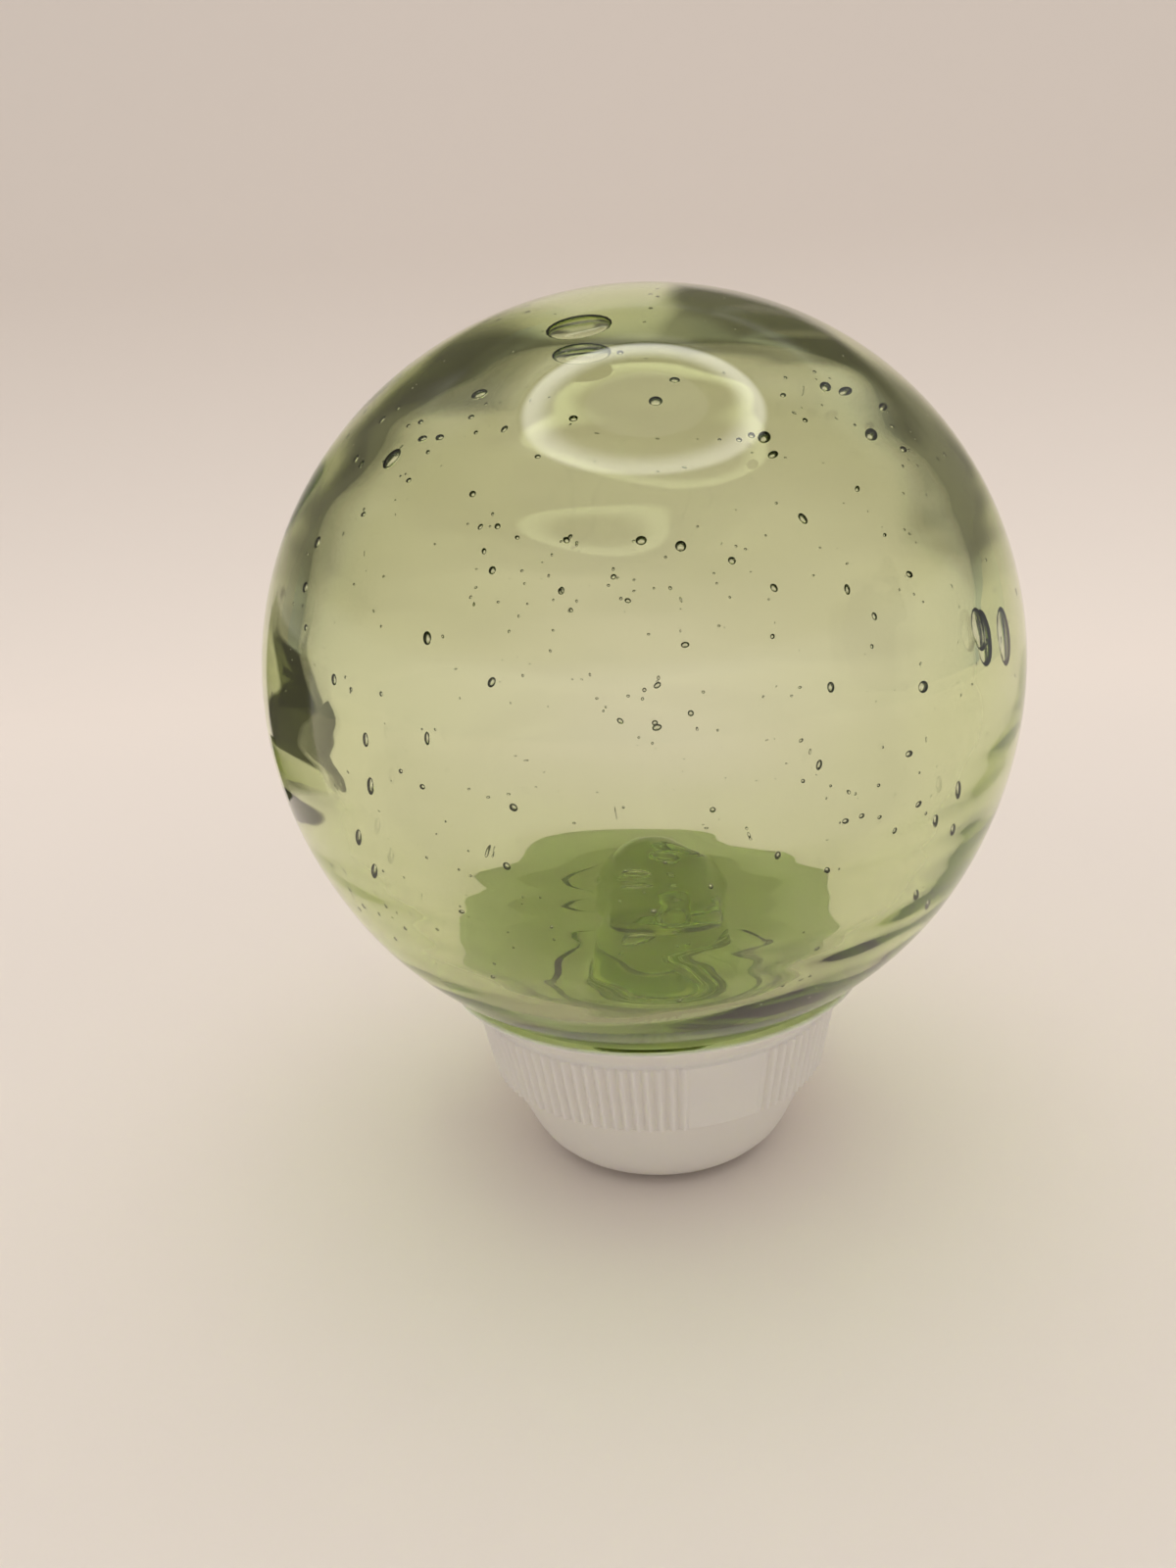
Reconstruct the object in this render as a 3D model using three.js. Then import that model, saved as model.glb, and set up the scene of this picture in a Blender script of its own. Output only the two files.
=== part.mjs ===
// A hand-blown glass float ball standing in an upturned ribbed screw cap.
// Millimetres, +Z up. The cap's foot is on z = 0 and its axis is the Z axis; the front faces -Y.
import * as THREE from 'three';

// ---- glass float -------------------------------------------------------------------------
const BALL_R = 32;            // radius of a 64 mm (two and a half inch) float
const BALL_Z = 44.25;         // height of the ball's centre above the floor
const BALL_SEGS = 60;         // facets round the axis
const BALL_STEP = 6;          // degrees from one row of facets to the next, from the top to the seal
const TALL = 0.0035;          // how much the ball is drawn out up and down, as a share of its radius
const LOBE = 0.0055;          // three soft corners left by the blowing, as a share of the radius
const LOBE_AT = 40;           // direction of one soft corner, degrees up from +X seen from the front
const CALM = [-0.72, -0.35];  // true below the first height (share of radius), uneven above the second
const SEAL_R = 11;            // radius of the seal button under the ball
const SEAL_PROUD = 1.1;       // how far the button stands proud of the ball
const SEAL_EDGE = 1.6;        // width of the button's rounded edge
const SEAL_ROWS = [168, 174]; // rows of facets on the button, degrees down from the top

// ---- screw cap ---------------------------------------------------------------------------
const FOOT_R = 7.1;           // flat the cap stands on
const CORNER = 3.9;           // radius of the corner between the flat and the crown's side
const CROWN_R = 14.75;        // crown's side at the shoulder under the ribs
const CROWN_FLARE = 0.46;     // widening of the crown's side, mm per mm of height
const SHOULDER_Z = 8.3;       // height of the shoulder
const RIB_Z = [8.6, 14.9];    // height of the ribs' lower and upper ends
const RIB_CREST = [15.6, 16.9];    // radius over the ribs, lower and upper end
const RIB_DEPTH = 0.55;       // height of a rib above its groove
const RIBS = 100;             // places for a rib round the cap
const PLAIN = [8, 32];        // smooth window in the ribs, degrees round from the front towards +X
const PLAIN_SINK = 0.2;       // how far the smooth window lies under the ribs' crests
const LEDGE = [16.4, 15.3];   // radius and height of the root of the plain rim above the ribs
const LIP_OUT = [19.15, 17.9];    // outer edge of the mouth
const LIP_TOP = [18.6, 17.7];     // top of the lip, sloped to follow the ball
const LIP_IN = [18.0, 17.3];      // inner edge of the mouth, where the ball rests
const INSIDE = [[15.4, 14.5], [13.4, 8.1], [11.1, 2.9], [8.4, 1.4]];   // hollow's radii and heights

const GLASS = { color: 0x8ea070, roughness: 0.05, metalness: 0 };
const PLASTIC = { color: 0xe9e7e2, roughness: 0.45, metalness: 0 };

const rad = (deg) => deg * Math.PI / 180;
const ease = (a, b, t) => THREE.MathUtils.smoothstep(t, a, b);

// Distance from the ball's centre to its skin along a unit direction.
function skin(u) {
  const round = Math.atan2(u.z, u.x);
  const uneven = TALL * (1.5 * u.z * u.z - 0.5)
    + LOBE * Math.cos(3 * (round - rad(LOBE_AT))) * (1 - u.y * u.y);
  const side = BALL_R * Math.hypot(u.x, u.y);
  const button = u.z < 0 ? SEAL_PROUD * (1 - ease(SEAL_R - SEAL_EDGE, SEAL_R, side)) : 0;
  return BALL_R * (1 + uneven * ease(CALM[0], CALM[1], u.z)) + button;
}

// A turned sphere with two rows of facets on the edge of the seal button, then moved out to the skin.
function glassFloat() {
  const edge = [SEAL_R, SEAL_R - SEAL_EDGE].map((r) => 180 - Math.asin(r / BALL_R) / rad(1));
  const even = [];
  for (let down = BALL_STEP; down < edge[0] - BALL_STEP / 2; down += BALL_STEP) even.push(down);
  const rows = [...even, ...edge, ...SEAL_ROWS].reverse();
  const side = rows.map((down) => new THREE.Vector2(Math.sin(rad(down)), Math.cos(rad(down))));
  const profile = [new THREE.Vector2(0, -1), ...side, new THREE.Vector2(0, 1)];
  const g = new THREE.LatheGeometry(profile, BALL_SEGS);
  g.rotateX(Math.PI / 2);
  const p = g.attributes.position;
  const u = new THREE.Vector3();
  for (let i = 0; i < p.count; i += 1) {
    u.fromBufferAttribute(p, i).normalize();
    u.multiplyScalar(skin(u));
    p.setXYZ(i, u.x, u.y, u.z + BALL_Z);
  }
  return g;
}

// Side of the crown from the flat foot, round the corner, to the shoulder.
function crownProfile() {
  const at = (z) => CROWN_R + CROWN_FLARE * (z - SHOULDER_Z) - CORNER
    + Math.sqrt(CORNER ** 2 - Math.max(CORNER - z, 0) ** 2);
  const heights = [1.0, 2.3, CORNER, SHOULDER_Z];
  return [[FOOT_R, 0], ...heights.map((z) => [at(z), z])];
}

// The cap is turned about its axis; then the two rows of the ribbed band are moved in and out.
function standCap() {
  const outside = [...crownProfile(), [RIB_CREST[0], RIB_Z[0]], [RIB_CREST[1], RIB_Z[1]],
    LEDGE, LIP_OUT, LIP_TOP, LIP_IN];
  const profile = [[0, 0], ...outside, ...INSIDE, [0, INSIDE.at(-1)[1]]];
  const g = new THREE.LatheGeometry(profile.map(([r, z]) => new THREE.Vector2(r, z)), 2 * RIBS);
  g.rotateX(Math.PI / 2);
  const p = g.attributes.position;
  for (let i = 0; i < p.count; i += 1) {
    const x = p.getX(i);
    const y = p.getY(i);
    const z = p.getZ(i);
    const row = RIB_Z.findIndex((h) => Math.abs(h - z) < 1e-3);
    if (row < 0) continue;
    const turn = Math.atan2(x, -y);
    const slot = Math.round(turn / rad(180 / RIBS));
    const inWindow = turn > rad(PLAIN[0]) && turn < rad(PLAIN[1]);
    const sink = inWindow ? PLAIN_SINK : RIB_DEPTH * Math.abs(slot % 2);
    const s = (RIB_CREST[row] - sink) / Math.hypot(x, y);
    p.setXY(i, x * s, y * s);
  }
  return g;
}

function piece(name, geometry, look) {
  const mesh = new THREE.Mesh(geometry, new THREE.MeshStandardMaterial(look));
  mesh.name = name;
  return mesh;
}

const part = new THREE.Group();
part.name = 'glass_float_ball';
part.add(piece('stand_cap', standCap(), PLASTIC));
part.add(piece('glass_float', glassFloat(), GLASS));

export default part;
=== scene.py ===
"""Looks of a small hand-blown glass float standing in an upturned ribbed screw cap."""

import math

import bmesh
import bpy
import numpy as np
from mathutils import Matrix, Vector


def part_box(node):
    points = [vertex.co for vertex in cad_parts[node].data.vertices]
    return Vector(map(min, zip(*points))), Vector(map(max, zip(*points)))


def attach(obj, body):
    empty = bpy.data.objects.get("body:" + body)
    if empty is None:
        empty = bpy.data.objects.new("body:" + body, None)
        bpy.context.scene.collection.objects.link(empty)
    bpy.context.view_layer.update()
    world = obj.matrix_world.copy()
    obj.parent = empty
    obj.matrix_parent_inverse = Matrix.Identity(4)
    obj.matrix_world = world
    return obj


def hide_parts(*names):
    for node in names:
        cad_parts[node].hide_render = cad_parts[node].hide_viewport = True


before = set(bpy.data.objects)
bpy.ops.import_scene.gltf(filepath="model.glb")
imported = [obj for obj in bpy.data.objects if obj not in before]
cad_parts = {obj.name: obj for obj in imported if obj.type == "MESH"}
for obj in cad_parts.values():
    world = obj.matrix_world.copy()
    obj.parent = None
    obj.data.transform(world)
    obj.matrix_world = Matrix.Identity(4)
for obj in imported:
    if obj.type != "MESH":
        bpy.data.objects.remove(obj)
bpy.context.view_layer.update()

MM = 0.001
RNG = np.random.default_rng(64)

# ---- outer skin of the float, as on the solid (mm) ----------------------------------------------
BALL_R = 32.0
TALL = 0.0035            # drawn out up and down, share of the radius
LOBE = 0.0055            # three soft corners left by the blowing, share of the radius
LOBE_AT = 40.0           # direction of one soft corner, degrees up from +X seen from the front
CALM = (-0.72, -0.35)    # true below the first height (share of the radius), uneven above the second
TOP_UNEVEN = TALL + LOBE * math.cos(math.radians(3 * (90 - LOBE_AT)))
BALL_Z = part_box("glass_float")[1][2] / MM - BALL_R * (1 + TOP_UNEVEN)
SKIN_TRIM = 0.03         # keeps the fine skin inside the faceted one
SEAL_R = 11.0            # seal button melted on under the ball
SEAL_PROUD = 1.1
SEAL_EDGE = 1.0          # width of the button's rounded edge
SEAL_RIM = ((0.5, 3, 1.0), (0.35, 5, 0.0))   # out of round: mm, lobes, phase
SKIN_COLUMNS = 200
SKIN_ROWS = (70, 54)     # rows over the ball and round the seal
SKIN_SEAM = -60          # elevation where the finer rows begin

# ---- wall of the float and what is in it (mm) ---------------------------------------------------
WALL = 3.2               # usual thickness of the blown wall
# Where the wall is thicker or thinner: azimuth, elevation, extra mm, degrees over which it dies away.
PATCHES = ((0, -6, -0.8, 34), (180, -22, -1.1, 34), (0, 62, 0.7, 36))
SWELL = (-6, -21, 1.5, 23, 16)   # thicker band low across the front: azimuth, elevation, mm, reaches
# Unevenness of the inner face: mm, seed, waves, fineness, how much finer it is upright.
BROAD = (0.14, 5, 12, 3.0, 1.0)
CORDS = (0.045, 8, 16, 12.0, 2.6)
WAVES = (0.005, 9, 24, 9.0, 8.0)
WAVES_LOW = 0.008        # what the lower half adds to the waves
TRUE_FLOOR = (-0.97, -0.85)      # the inner face is true below the first height, uneven above
SEAL_WALL = 1.4          # extra thickness of glass at the seal
SEAL_WALL_AT = (-0.78, -0.95)    # heights between which that thickness comes in
HOLLOW_COLUMNS = 200
HOLLOW_ROWS = (180, 6, 12, 30)   # rows of shell, foot, side and dome of the inner face

LUMP_R = 5.7             # lump of glass left standing inside the seal
LUMP_TALL = 8.0
LUMP_DOME = 6.4          # height of the lump's rounded top
LUMP_FOOT = 0.5          # radius of the hollow round its foot
LUMP_LOBES = ((0.05, 2, 0.6), (0.03, 3, 0.0))   # out of round: share of the radius, lobes, phase
SIDE_RIPPLE = 0.14       # rings drawn into the lump's side and dome
DOME_RIPPLE = 0.05
FLOOR_R = BALL_R - WALL - SEAL_WALL
FLOOR_Z = -math.sqrt(FLOOR_R**2 - (LUMP_R + LUMP_FOOT) ** 2)   # floor of the hollow at the lump

# Bubbles that show: azimuth, elevation, depth under the skin, length, width, thickness, tilt.
NOTABLE = (
    (-12, 62, 1.2, 4.6, 3.6, 0.5, 4),
    (-10, 57, 2.4, 4.0, 2.4, 0.4, -4),
    (57, 9, 1.2, 2.4, 4.2, 1.0, 0),
    (51, 11, 2.2, 1.8, 3.0, 0.8, 6),
    (-42, 39, 1.3, 1.2, 1.7, 0.9, -30),
    (-29, 49, 1.4, 1.2, 0.8, 0.8, 20),
    (9, 49, 1.3, 0.7, 0.5, 0.5, -10),
    (5, 46, 1.6, 0.9, 0.8, 0.5, 0),
    (-9, 44, 1.5, 0.6, 0.5, 0.4, 0),
    (-37, 42, 1.4, 0.8, 0.5, 0.5, 10),
    (-33, 42, 1.3, 0.7, 0.5, 0.5, 0),
    (21, 39, 1.3, 1.0, 0.8, 0.8, 40),
    (22, 37, 2.0, 0.8, 0.5, 0.5, 20),
    (38, 46, 1.3, 1.1, 0.8, 0.8, 30),
    (42, 45, 1.3, 1.6, 0.7, 0.7, 15),
    (41, 38, 1.3, 1.3, 0.9, 0.8, 25),
    (49, 42, 1.4, 1.3, 0.6, 0.6, 20),
    (1, 27, 1.5, 0.7, 0.6, 0.5, 0),
    (6, 26, 1.5, 0.7, 0.7, 0.5, 0),
    (23, 28, 1.4, 0.5, 0.8, 0.5, 25),
    (-27, 16, 1.4, 0.6, 0.9, 0.6, 10),
    (27, 19, 1.4, 0.4, 0.7, 0.5, 0),
    (-53, 27, 1.2, 0.7, 0.9, 0.6, 0),
    (-53, 21, 1.2, 0.7, 0.8, 0.5, 0),
    (-43, 10, 1.4, 0.5, 0.8, 0.5, 10),
    (-18, 11, 1.6, 0.7, 0.5, 0.5, 60),
    (-37, 3, 1.4, 0.5, 1.0, 0.5, 0),
    (-27, 4, 1.5, 0.4, 0.9, 0.5, 0),
    (-37, -3, 1.3, 0.6, 1.3, 0.6, -10),
    (-42, -11, 1.3, 0.6, 1.5, 0.6, -25),
    (-41, -16, 1.3, 0.6, 1.6, 0.6, -30),
    (-18, -12, 1.4, 0.5, 0.6, 0.5, 30),
    (-16, -4, 1.4, 0.5, 0.6, 0.5, 50),
    (37, 6, 1.5, 0.9, 0.8, 0.4, 0),
    (23, 8, 1.5, 0.5, 0.7, 0.5, 0),
    (21, -1, 1.4, 0.4, 0.7, 0.5, -15),
    (16, -12, 1.4, 0.4, 0.6, 0.5, -10),
    (45, -9, 1.3, 0.6, 1.5, 0.6, 15),
    (46, -15, 1.3, 0.6, 1.1, 0.6, 20),
    (48, -28, 1.3, 0.6, 1.6, 0.6, 35),
)
# Bubbles in the lump: sideways, back, height over the hollow's floor, then width, depth, height.
IN_LUMP = (
    (0.2, -1.0, 5.0, 2.3, 1.6, 2.6),
    (-2.0, -2.8, 3.4, 2.2, 1.1, 1.0),
    (0.4, -3.4, 4.2, 0.6, 0.5, 0.5),
    (-3.0, -3.6, 2.6, 0.4, 0.4, 0.4),
    (1.4, -4.2, 2.4, 0.4, 0.4, 0.4),
)
# Clouds of fine seeds: azimuth, elevation, spread in degrees, how many.
CLOUDS = (
    (-15, 26, 4, 12), (-10, 21, 4, 14), (-1, 22, 3, 10), (13, 23, 3, 8), (-2, 8, 3, 8),
    (4, 7, 3, 8), (26, -8, 5, 12), (-38, 48, 9, 24), (42, 42, 9, 24), (-25, -16, 6, 10),
)
SEEDS = 330              # seeds scattered through the rest of the wall
SEED_SIZE = (0.15, 0.38)         # smallest seed, and how much larger the rare large ones are
SEED_LONG = (1.0, 1.5)   # length of a seed over its width
SEED_FLAT = 0.8
SEED_COVER = 0.6         # glass left between a seed's middle and either face of the wall
SEED_LOWEST = -0.85      # no seeds below this height (share of the radius), in the seal

# ---- screw cap (mm), the profile of the solid with its corners rounded --------------------------
CAP_R, CAP_H = (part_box("stand_cap")[1][i] / MM for i in (0, 2))
LIP = CAP_R - 0.35       # middle of the lip that the ball rests on
# Corners of the outside and the inside: radius, height, rounding.
OUTSIDE = (
    (LIP, CAP_H, 0), (CAP_R, CAP_H - 0.2, 0.15),
    (16.4, 15.35, 0.3), (16.88, 15.0, 0.18), (15.58, 8.6, 0.15), (14.75, 8.3, 0.15),
    (10.93, 0.0, 5.6), (0.05, 0.0, 0),
)
INSIDE = (
    (0.05, 1.4, 0), (8.4, 1.4, 1.0), (11.1, 2.9, 1.5), (13.4, 8.1, 1.0), (15.4, 14.5, 1.0),
    (18.0, 17.3, 0.15), (18.6, 17.7, 0.1), (LIP, CAP_H, 0),
)
ARC_STEP = 12            # degrees between the points of a rounded corner
RIBS = 100
RIB_Z = (8.55, 15.1)     # heights between which the side is ribbed
RIB_R = 14.9             # everything ribbed is further out than this
RIB_DEPTH = 0.5
RIB_SHARP = 1.3          # above 1, grooves are narrower than ribs
PLAIN = (8.0, 32.0)      # smooth window in the ribs, degrees round from the front towards +X
PLAIN_EDGE = 0.4
PLAIN_SINK = 0.35        # the window lies this share of the ribs' depth under their tops
CAP_COLUMNS = 8 * RIBS

# ---- set (mm, degrees) --------------------------------------------------------------------------
PAPER_COLOUR = (0.80, 0.728, 0.672, 1)
PAPER_HALF, PAPER_BACK, PAPER_BEND, PAPER_TALL = 420.0, 210.0, 130.0, 330.0
BEND_STEPS = 24

WARM = (1.0, 0.88, 0.78)
FILL = 0.7
# What the room shows the glass: azimuths, elevations, distance, brightness, softness of the edges,
# then where they aren't the usual ones the fill, the colour and whether only the rim mirrors it.
ROOM = (
    ((-115, 115), (12, 68), 330.0, 0.05, 0.1, 3.1),
    ((112, 248), (47, 68), 334.0, 0.15, 0.2),
    ((188, 225), (18, 56), 316.0, 0.1, 0.25),
    ((202, 264), (-3, 56), 320.0, 0.16, 0.3),
    ((128, 168), (23, 52), 314.0, 0.09, 0.3),
    ((100, 158), (-2, 44), 318.0, 0.22, 0.3),
    ((160, 176), (23, 54), 322.0, 0.15, 0.3),
    ((168, 194), (20, 54), 324.0, 0.75, 0.3),
    ((232, 266), (-19.9, 7), 125.0, 0.07, 0.06, FILL, WARM, True),
    ((229, 254), (-19.9, 6), 126.0, 0.05, 0.12),
    ((225, 234.5), (-19.9, -12.0), 125.0, 0.03, 0.03),
)
OVERHEAD = ((0, 360), (66, 89.5), 338.0, 0.1, 0.02, 38.0, (0.85, 1.0, 0.72))
CARD_POINTS = 25         # points along each side of a card

LAMP_AT = (11.0, -23.0, 215.0)
LAMP_R = (74.0, 66.0)    # half-widths of the ring across and along
LAMP_STRENGTH = 4.3
LAMP_COLOUR = (1.0, 0.98, 0.94, 1)
LAMP_BAND = (0.5, 1.1)   # inner and outer edge of the ring's mesh, shares of its half-width
LAMP_INNER = (0.7, 0.97)         # the light rises between these shares and dies away between the next
LAMP_OUTER = (1.0, 1.1)
LAMP_WALLS = (1.0, 4.0)  # walls of glass passed between which the light dies away
LAMP_SEGMENTS = 96

WORLD_COLOUR, WORLD_STRENGTH = (1.0, 0.97, 0.94, 1), 0.54
CEILING_AT = (0.1, -0.15, 1.6)   # m
CEILING_SIZE, CEILING_POWER, CEILING_COLOUR = 2.2, 18.8, (1.0, 0.97, 0.93)

# ---- camera (mm, degrees) -----------------------------------------------------------------------
CAMERA_AT = (0.0, -101.8, 64.5)
CAMERA_PITCH = 16.3
CAMERA_YAW = -2.9
CAMERA_ROLL = -3.6
LENS = 27.0


# ---------------------------------------------------------------------------------- mesh helpers
def ease(a, b, t):
    """Smooth step from 0 at a to 1 at b."""
    s = np.clip((t - a) / (b - a), 0.0, 1.0)
    return s * s * (3 - 2 * s)


def direction(azimuth, elevation):
    """Unit vector; azimuth 0 is the front (-Y) and 90 is +X, in degrees."""
    a, e = np.radians(azimuth), np.radians(elevation)
    return np.stack([np.sin(a) * np.cos(e), -np.cos(a) * np.cos(e), np.sin(e)], -1)


def round_about(columns):
    """Azimuths of the columns of a mesh that closes on itself, in degrees."""
    return np.arange(columns) * 360 / columns


def strip_faces(upper, lower):
    """Faces between two closed rows of a mesh, given as the vertex numbers of each row."""
    return np.stack([upper, lower, np.roll(lower, -1), np.roll(upper, -1)], -1).tolist()


def fan_faces(pole, row, after):
    """Faces from a pole to a closed row, given as its vertex numbers and the ones after them."""
    return np.stack([np.full(len(row), pole), row, after], -1).tolist()


def closed_grid(rings, top, bottom, inward=False):
    """Vertices and faces of a closed skin: rings from the top down, with a pole at each end."""
    rows, columns = rings.shape[:2]
    verts = np.concatenate([rings.reshape(-1, 3), [top], [bottom]])
    number = np.arange(rows * columns).reshape(rows, columns)
    faces = []
    for upper, lower in zip(number, number[1:]):
        faces += strip_faces(upper, lower)
    faces += fan_faces(rows * columns, number[0], np.roll(number[0], -1))
    faces += fan_faces(rows * columns + 1, np.roll(number[-1], -1), number[-1])
    return verts, [f[::-1] for f in faces] if inward else faces


def make_object(name, skins, material):
    """One smooth mesh object from (vertices in mm, faces) skins."""
    verts, faces, start = [], [], 0
    for v, f in skins:
        verts.append(v * MM)
        faces += [[i + start for i in face] for face in f]
        start += len(v)
    mesh = bpy.data.meshes.new(name)
    mesh.from_pydata(np.concatenate(verts).tolist(), [], faces)
    mesh.polygons.foreach_set("use_smooth", [True] * len(mesh.polygons))
    mesh.materials.append(material)
    mesh.update()
    obj = bpy.data.objects.new(name, mesh)
    bpy.context.scene.collection.objects.link(obj)
    return obj


def lift(skins, height):
    return [(verts + np.array([0, 0, height]), faces) for verts, faces in skins]


def soft_noise(u, seed, waves, scale):
    """Smooth noise on the ball: a sum of plane waves with random directions, about -1 to 1."""
    rng = np.random.default_rng(seed)
    total = np.zeros(u.shape[:-1])
    for _ in range(waves):
        k = rng.normal(size=3)
        k *= scale * rng.uniform(0.6, 1.4) / np.linalg.norm(k)
        total += np.sin(u @ k + rng.uniform(0, 2 * math.pi))
    return total / math.sqrt(waves / 2)


# ------------------------------------------------------------------------------ material helpers
def new_material(name):
    mat = bpy.data.materials.new(name)
    mat.use_nodes = True
    return mat, mat.node_tree.nodes, mat.node_tree.links


def set_plain(node, values):
    """Plain values on a node's own sockets."""
    for socket, value in values.items():
        node.inputs[socket].default_value = value


def principled(name, values):
    mat, nodes, _ = new_material(name)
    set_plain(nodes["Principled BSDF"], values)
    return mat


def multiplied(nodes, links, a, b, clamp=False):
    product = nodes.new("ShaderNodeMath")
    product.operation = "MULTIPLY"
    product.use_clamp = clamp
    links.new(a, product.inputs[0])
    links.new(b, product.inputs[1])
    return product.outputs["Value"]


# ------------------------------------------------------------------------------------- the glass
def skin_radius(u):
    """Distance from the ball's centre to its skin along unit directions u."""
    x, y, z = u[..., 0], u[..., 1], u[..., 2]
    turn = np.arctan2(z, x)
    uneven = TALL * (1.5 * z * z - 0.5)
    uneven = uneven + LOBE * np.cos(3 * (turn - math.radians(LOBE_AT))) * (1 - y * y)
    side = BALL_R * np.hypot(x, y)
    round_z = np.arctan2(x, -y)
    rim = SEAL_R
    for size, lobes, phase in SEAL_RIM:
        rim = rim + size * np.cos(lobes * round_z + phase)
    button = np.where(z < 0, SEAL_PROUD * (1 - ease(rim - SEAL_EDGE, rim, side)), 0.0)
    return BALL_R * (1 + uneven * ease(*CALM, z)) - SKIN_TRIM + button


def outer_skin():
    ball, seal = SKIN_ROWS
    above = 90 - (np.arange(ball) + 1) * (90 - SKIN_SEAM) / ball
    below = SKIN_SEAM - (np.arange(seal) + 1) * (90 + SKIN_SEAM) / (seal + 1)
    u = direction(*np.meshgrid(round_about(SKIN_COLUMNS), np.concatenate([above, below])))
    poles = np.array([(0, 0, 1.0), (0, 0, -1.0)])
    top, bottom = poles * skin_radius(poles)[:, None]
    return closed_grid(u * skin_radius(u)[..., None], top, bottom)


def uneven_by(u, layer, more=0.0):
    """One layer of the inner face's unevenness along u, in mm."""
    size, seed, waves, fineness, upright = layer
    return (size + more) * soft_noise(u * np.array([1.0, 1.0, upright]), seed, waves, fineness)


def wall_thickness(u):
    """Wall along directions u: thicker and thinner patches, and fine drawn-out cords."""
    patch = 0
    for azimuth, elevation, more, reach in PATCHES:
        off = np.degrees(np.arccos(np.clip(u @ direction(azimuth, elevation), -1, 1)))
        patch = patch + more * np.exp(-((off / reach) ** 2))
    azimuth = np.degrees(np.arctan2(u[..., 0], -u[..., 1]))
    elevation = np.degrees(np.arcsin(np.clip(u[..., 2], -1, 1)))
    round_by, up_by = (azimuth - SWELL[0]) / SWELL[3], (elevation - SWELL[1]) / SWELL[4]
    patch = patch + SWELL[2] * np.exp(-(round_by**2) - up_by**2)
    waves = uneven_by(u, WAVES, WAVES_LOW * ease(0.0, -0.3, u[..., 2]))
    return WALL + patch + uneven_by(u, BROAD) + uneven_by(u, CORDS) + waves


def lump_profile():
    """Radius and height of the inner face from the foot of the lump to its top, pole left out."""
    _, foot, side, dome = HOLLOW_ROWS
    profile = []
    for t in (np.arange(foot) + 1) / (foot + 1) * math.pi / 2:
        hollow = LUMP_FOOT * (1 - math.cos(t))
        profile.append((LUMP_R + LUMP_FOOT - LUMP_FOOT * math.sin(t), FLOOR_Z + hollow))
    side_tall = LUMP_TALL - LUMP_FOOT - LUMP_DOME
    for t in np.arange(side) / side:
        ripple = SIDE_RIPPLE * math.sin(3 * math.pi * t) * (1 - t)
        profile.append((LUMP_R + ripple, FLOOR_Z + LUMP_FOOT + side_tall * t))
    for t in np.arange(dome) / dome * math.pi / 2:
        ripple = DOME_RIPPLE * math.sin(9 * t) * math.cos(t) ** 4
        drop = LUMP_DOME * (1 - math.sin(t))
        profile.append((LUMP_R * math.cos(t) + ripple, FLOOR_Z + LUMP_TALL - drop))
    return profile


def inner_face():
    """Inner face of the shell, with the lump standing on the seal."""
    shell = HOLLOW_ROWS[0]
    start = math.degrees(math.acos((LUMP_R + LUMP_FOOT) / FLOOR_R))
    azimuth = round_about(HOLLOW_COLUMNS)
    elevation = 90 - (np.arange(shell) + 1) * (90 + start) / shell
    u = direction(*np.meshgrid(azimuth, elevation))
    uneven = ease(*TRUE_FLOOR, u[..., 2])
    radius = BALL_R - WALL - (wall_thickness(u) - WALL) * uneven + (skin_radius(u) - BALL_R) * uneven
    radius = radius - SEAL_WALL * ease(*SEAL_WALL_AT, u[..., 2])
    rings = [u * radius[..., None]]
    lobed = sum(size * np.cos(n * np.radians(azimuth) + phase) for size, n, phase in LUMP_LOBES)
    for r, z in lump_profile():
        grow = ease(FLOOR_Z, FLOOR_Z + 2 * LUMP_FOOT, z)
        ring = direction(azimuth, 0 * azimuth) * (r * (1 + lobed * grow))[:, None]
        ring[:, 2] = z
        rings.append(ring[None])
    top, bottom = np.array([0, 0, BALL_R - WALL]), np.array([0, 0, FLOOR_Z + LUMP_TALL])
    return closed_grid(np.concatenate(rings), top, bottom, inward=True)


def ball_template(level):
    """Vertices and faces of a unit icosphere turned inside out, since a bubble is a hole in glass."""
    mesh = bpy.data.meshes.new("bubble_template")
    bm = bmesh.new()
    bmesh.ops.create_icosphere(bm, subdivisions=level, radius=1.0)
    bm.to_mesh(mesh)
    bm.free()
    verts = np.array([v.co[:] for v in mesh.vertices])
    faces = [list(p.vertices)[::-1] for p in mesh.polygons]
    bpy.data.meshes.remove(mesh)
    return verts, faces


def cavity(template, centre, size, axes=np.eye(3)):
    """A hole in the glass: an ellipsoid of the given middle, size in mm and axes."""
    verts, faces = template
    return centre + (verts * np.array(size) / 2) @ axes, faces


def wall_bubble(template, u, depth, size, tilt):
    """A flattened bubble (length, width, thickness in mm) in the wall, depth mm under the skin."""
    normal = u / np.linalg.norm(u)
    across = np.cross((0, 0, 1.0), normal)
    across /= np.linalg.norm(across)
    up = np.cross(normal, across)
    c, s = math.cos(math.radians(tilt)), math.sin(math.radians(tilt))
    axes = np.stack([c * across + s * up, -s * across + c * up, normal])
    return cavity(template, normal * (skin_radius(normal) - depth), size, axes)


def seed(template, u):
    """A fine, slightly flattened seed somewhere in the thickness of the wall along u."""
    size = SEED_SIZE[0] + SEED_SIZE[1] * RNG.random() ** 3
    shape = size * np.array([RNG.uniform(*SEED_LONG), 1.0, SEED_FLAT])
    thickness = wall_thickness(u / np.linalg.norm(u))
    depth = RNG.uniform(SEED_COVER, thickness - SEED_COVER)
    return wall_bubble(template, u, depth, shape, RNG.uniform(0, 180))


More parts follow.
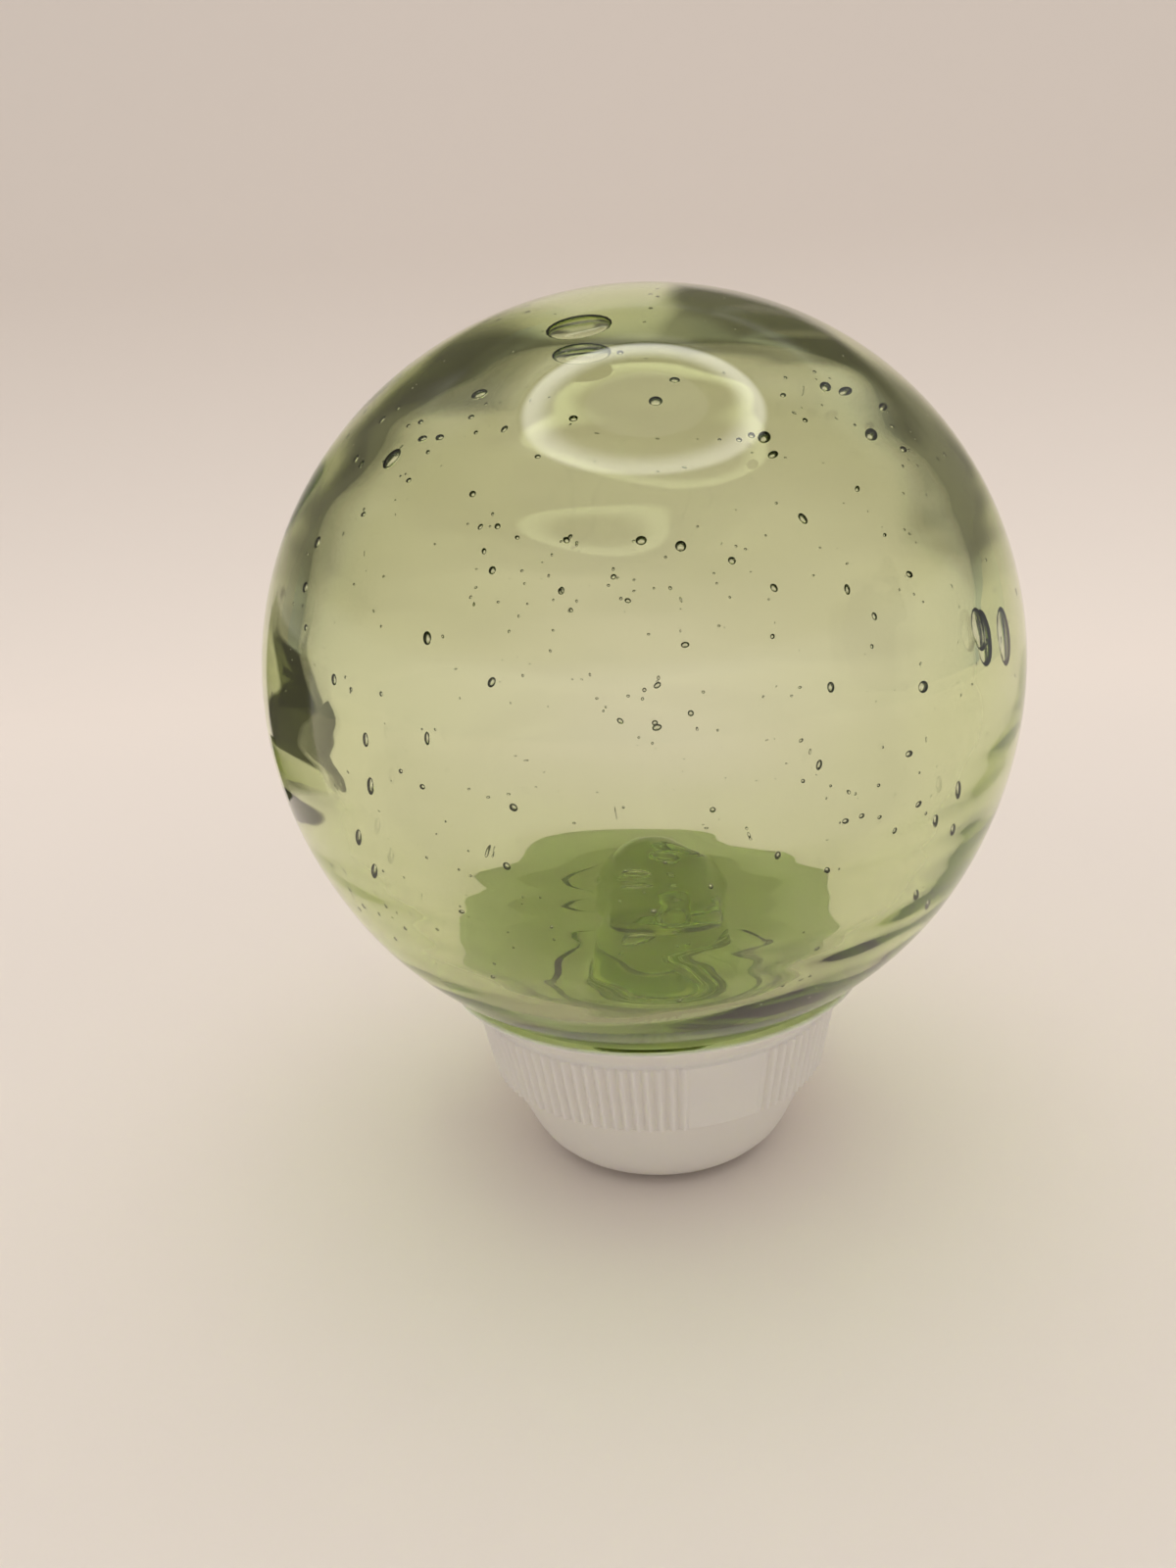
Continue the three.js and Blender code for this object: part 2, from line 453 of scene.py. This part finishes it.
def bubbles():
    large, small = ball_template(3), ball_template(2)
    skins = []
    for azimuth, elevation, depth, *size, tilt in NOTABLE:
        skins.append(wall_bubble(large, direction(azimuth, elevation), depth, size, tilt))
    for x, y, height, *size in IN_LUMP:
        skins.append(cavity(large, np.array([x, y, FLOOR_Z + height]), size))
    for azimuth, elevation, spread, count in CLOUDS:
        for _ in range(count):
            off = RNG.normal(size=3) * math.radians(spread)
            skins.append(seed(small, direction(azimuth, elevation) + off))
    scattered = 0
    while scattered < SEEDS:
        u = RNG.normal(size=3)
        if u[2] > SEED_LOWEST * np.linalg.norm(u):
            skins.append(seed(small, u))
            scattered += 1
    return skins


def glass_material():
    mat = principled("olive_glass", {
        "Base Color": (1, 1, 1, 1), "Roughness": 0.0, "IOR": 1.52, "Transmission Weight": 1.0})
    nodes, links = mat.node_tree.nodes, mat.node_tree.links
    tint = nodes.new("ShaderNodeVolumeAbsorption")
    set_plain(tint, {"Color": (0.61, 0.71, 0.13, 1), "Density": 120.0})
    links.new(tint.outputs["Volume"], nodes["Material Output"].inputs["Volume"])
    return mat


# --------------------------------------------------------------------------------------- the cap
def rounded(corners):
    """Points of an outline whose corners (r, z, rounding radius) are turned into arcs."""
    points = [corners[0][:2]]
    for before, here, after in zip(corners, corners[1:], corners[2:]):
        a, p, b = (np.array(c[:2], float) for c in (before, here, after))
        to_a, to_b = (v / np.linalg.norm(v) for v in (a - p, b - p))
        half = math.acos(np.clip(to_a @ to_b, -1, 1)) / 2
        reach = here[2] / math.tan(half)
        centre = p + (to_a + to_b) / np.linalg.norm(to_a + to_b) * here[2] / math.sin(half)
        start, end = p + to_a * reach - centre, p + to_b * reach - centre
        steps = max(3, int(math.degrees(math.pi - 2 * half) / ARC_STEP))
        turn = math.atan2(start[0] * end[1] - start[1] * end[0], start @ end)
        for i in range(steps + 1):
            c, s = math.cos(turn * i / steps), math.sin(turn * i / steps)
            across, up = c * start[0] - s * start[1], s * start[0] + c * start[1]
            points.append(tuple(centre + (across, up)))
    return points + [corners[-1][:2]]


def stretch(points, step):
    """The same outline with extra points, so that no two are more than step apart."""
    out = [points[0]]
    for a, b in zip(points, points[1:]):
        n = max(1, math.ceil(math.dist(a, b) / step))
        out += [tuple(np.array(a) + (np.array(b) - a) * (i + 1) / n) for i in range(n)]
    return out


def cap_moulding():
    """The moulding's wall: its outline runs from the lip down, under the foot, and up inside."""
    outside = stretch(rounded(OUTSIDE), 1.0)
    path = outside + stretch(rounded(INSIDE), 1.5)[:-1]
    turn = round_about(CAP_COLUMNS)
    opens, closes = (ease(edge - PLAIN_EDGE, edge + PLAIN_EDGE, turn) for edge in PLAIN)
    plain = opens * (1 - closes)
    groove = (0.5 - 0.5 * np.cos(np.radians(turn * RIBS))) ** RIB_SHARP
    sink = RIB_DEPTH * (groove * (1 - plain) + PLAIN_SINK * plain)
    rings = []
    for i, (r, z) in enumerate(path):
        on_ribs = i < len(outside) and RIB_Z[0] <= z <= RIB_Z[1] and r > RIB_R
        ring = direction(turn, 0 * turn) * (r - sink * on_ribs)[:, None]
        ring[:, 2] = z
        rings.append(ring)
    number = np.arange(len(path) * CAP_COLUMNS).reshape(len(path), CAP_COLUMNS)
    faces = []
    for upper, lower in zip(number, np.roll(number, -1, axis=0)):
        faces += strip_faces(upper, lower)
    return np.concatenate(rings), faces


def cap_material():
    return principled("white_cap_plastic", {
        "Base Color": (0.80, 0.77, 0.735, 1), "Roughness": 0.4, "Subsurface Weight": 0.2,
        "Subsurface Radius": (0.0015, 0.0015, 0.0012), "Subsurface Scale": 1.0})


# --------------------------------------------------------------------------------------- the set
def sweep():
    """Paper sweep: a floor that curves up into a wall behind."""
    line = [(-PAPER_HALF, 0.0), (PAPER_BACK, 0.0)]
    for i in range(1, BEND_STEPS + 1):
        t = math.pi / 2 * i / BEND_STEPS
        line.append((PAPER_BACK + PAPER_BEND * math.sin(t), PAPER_BEND * (1 - math.cos(t))))
    line.append((PAPER_BACK + PAPER_BEND, PAPER_TALL))
    verts = np.array([(x, y, z) for y, z in line for x in (-PAPER_HALF, PAPER_HALF)])
    faces = [[2 * i, 2 * i + 1, 2 * i + 3, 2 * i + 2] for i in range(len(line) - 1)]
    paper = principled("paper", {
        "Base Color": PAPER_COLOUR, "Roughness": 0.9, "Specular IOR Level": 0.1})
    return make_object("paper_sweep", [(verts, faces)], paper)


def room_material(brightness, fill, colour, rim_only):
    mat, nodes, links = new_material("room")
    nodes.clear()
    path = nodes.new("ShaderNodeLightPath")
    strength = nodes.new("ShaderNodeMapRange")     # clamps, so every bounce after the first counts
    set_plain(strength, {"To Min": brightness, "To Max": fill})
    links.new(path.outputs["Diffuse Depth"], strength.inputs["Value"])
    glow = nodes.new("ShaderNodeEmission")
    glow.inputs["Color"].default_value = (*colour, 1)
    links.new(strength.outputs["Result"], glow.inputs["Strength"])
    attribute = nodes.new("ShaderNodeAttribute")
    attribute.attribute_name = "cover"
    cover = attribute.outputs["Fac"]
    if rim_only:
        cover = multiplied(nodes, links, cover, path.outputs["Glossy Depth"], clamp=True)
    mix = nodes.new("ShaderNodeMixShader")
    links.new(cover, mix.inputs["Fac"])
    links.new(nodes.new("ShaderNodeBsdfTransparent").outputs["BSDF"], mix.inputs[1])
    links.new(glow.outputs["Emission"], mix.inputs[2])
    links.new(mix.outputs["Shader"], nodes.new("ShaderNodeOutputMaterial").inputs["Surface"])
    return mat


def room_card(azimuths, elevations, distance, brightness, soft, fill=FILL, colour=WARM, rim_only=False):
    """Curved card with soft edges that only the glass sees. The light it sends on through the glass
    to the cap and the floor is `fill`, so that the dark parts of the room don't darken them. With
    rim_only it shows only where the rim of the glass mirrors it."""
    n = CARD_POINTS
    grid = direction(*np.meshgrid(np.linspace(*azimuths, n), np.linspace(*elevations, n))) * distance
    verts = grid.reshape(-1, 3) + np.array([0, 0, BALL_Z])
    faces = [[r * n + c, r * n + c + 1, (r + 1) * n + c + 1, (r + 1) * n + c]
             for r in range(n - 1) for c in range(n - 1)]
    mat = room_material(brightness, fill, colour, rim_only)
    card = make_object("room_card", [(verts, faces)], mat)
    along = 0.5 - np.abs(np.linspace(-0.5, 0.5, n))
    fade = ease(0, soft, np.minimum(*np.meshgrid(along, along))).ravel()
    card.data.attributes.new("cover", "FLOAT", "POINT").data.foreach_set("value", fade)
    card.visible_camera = False
    card.visible_diffuse = False
    card.visible_shadow = False
    return card


def lamp_material():
    """Light that is brightest along the ring and dies away inwards and outwards."""
    mat, nodes, links = new_material("lamp")
    nodes.clear()
    reach = nodes.new("ShaderNodeVectorMath")
    reach.operation = "LENGTH"
    links.new(nodes.new("ShaderNodeTexCoord").outputs["Object"], reach.inputs[0])
    reach = reach.outputs["Value"]
    walls = nodes.new("ShaderNodeLightPath").outputs["Transmission Depth"]   # far walls mirror less
    steps = []
    for source, (low, high), start, end in (
            (reach, LAMP_INNER, 0.0, LAMP_STRENGTH),
            (reach, LAMP_OUTER, 1.0, 0.0),
            (walls, LAMP_WALLS, 1.0, 0.0)):
        step = nodes.new("ShaderNodeMapRange")
        step.interpolation_type = "SMOOTHSTEP"
        set_plain(step, {"From Min": low, "From Max": high, "To Min": start, "To Max": end})
        links.new(source, step.inputs["Value"])
        steps.append(step.outputs["Result"])
    across = multiplied(nodes, links, steps[0], steps[1])
    strength = multiplied(nodes, links, across, steps[2])
    glow = nodes.new("ShaderNodeEmission")
    glow.inputs["Color"].default_value = LAMP_COLOUR
    links.new(strength, glow.inputs["Strength"])
    links.new(glow.outputs["Emission"], nodes.new("ShaderNodeOutputMaterial").inputs["Surface"])
    return mat


def ring_lamp():
    """Ring of lamps hanging over the float; it is what the ring-shaped highlight mirrors."""
    n = LAMP_SEGMENTS
    turn = round_about(n)
    rim = direction(turn, 0 * turn) / MM
    verts = np.concatenate([rim * edge for edge in LAMP_BAND])
    faces = [[i, (i + 1) % n, n + (i + 1) % n, n + i] for i in range(n)]
    lamp = make_object("ring_lamp", [(verts, faces)], lamp_material())
    lamp.location = Vector(LAMP_AT) * MM
    lamp.scale = (LAMP_R[0] * MM, LAMP_R[1] * MM, 1.0)
    lamp.visible_camera = False
    lamp.visible_diffuse = False
    return lamp


def build_set():
    overhead = room_card(*OVERHEAD)
    overhead.visible_glossy = False
    sweep()
    ring_lamp()
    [room_card(*card) for card in ROOM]


def build_light():
    world = bpy.data.worlds.new("room")
    bpy.context.scene.world = world
    world.use_nodes = True
    set_plain(world.node_tree.nodes["Background"], {"Color": WORLD_COLOUR, "Strength": WORLD_STRENGTH})
    data = bpy.data.lights.new("ceiling", "AREA")
    data.shape = "DISK"
    data.size = CEILING_SIZE
    data.energy = CEILING_POWER
    data.color = CEILING_COLOUR
    ceiling = bpy.data.objects.new("ceiling", data)
    ceiling.location = CEILING_AT
    ceiling.visible_glossy = False
    ceiling.visible_transmission = False
    bpy.context.scene.collection.objects.link(ceiling)


def build_camera():
    data = bpy.data.cameras.new("camera")
    data.lens = LENS
    data.clip_start = 0.005
    cam = bpy.data.objects.new("camera", data)
    bpy.context.scene.collection.objects.link(cam)
    yaw, pitch = math.radians(CAMERA_YAW), math.radians(CAMERA_PITCH)
    level = math.cos(pitch)
    forward = Vector((math.sin(yaw) * level, math.cos(yaw) * level, -math.sin(pitch)))
    aim = forward.to_track_quat("-Z", "Y").to_matrix().to_4x4()
    place = Matrix.Translation(Vector(CAMERA_AT) * MM)
    cam.matrix_world = place @ aim @ Matrix.Rotation(math.radians(CAMERA_ROLL), 4, "Z")
    bpy.context.scene.camera = cam


glass_skins = lift([outer_skin(), inner_face(), *bubbles()], BALL_Z)
glass = make_object("float_glass", glass_skins, glass_material())
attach(glass, "root")
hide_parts("glass_float")

cap = make_object("cap_moulding", [cap_moulding()], cap_material())
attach(cap, "root")
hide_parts("stand_cap")

build_set()
build_light()
build_camera()

scene = bpy.context.scene
scene.view_settings.view_transform = "Standard"
scene.cycles.max_bounces = 24
scene.cycles.transmission_bounces = 24
scene.cycles.glossy_bounces = 16
scene.cycles.volume_bounces = 2
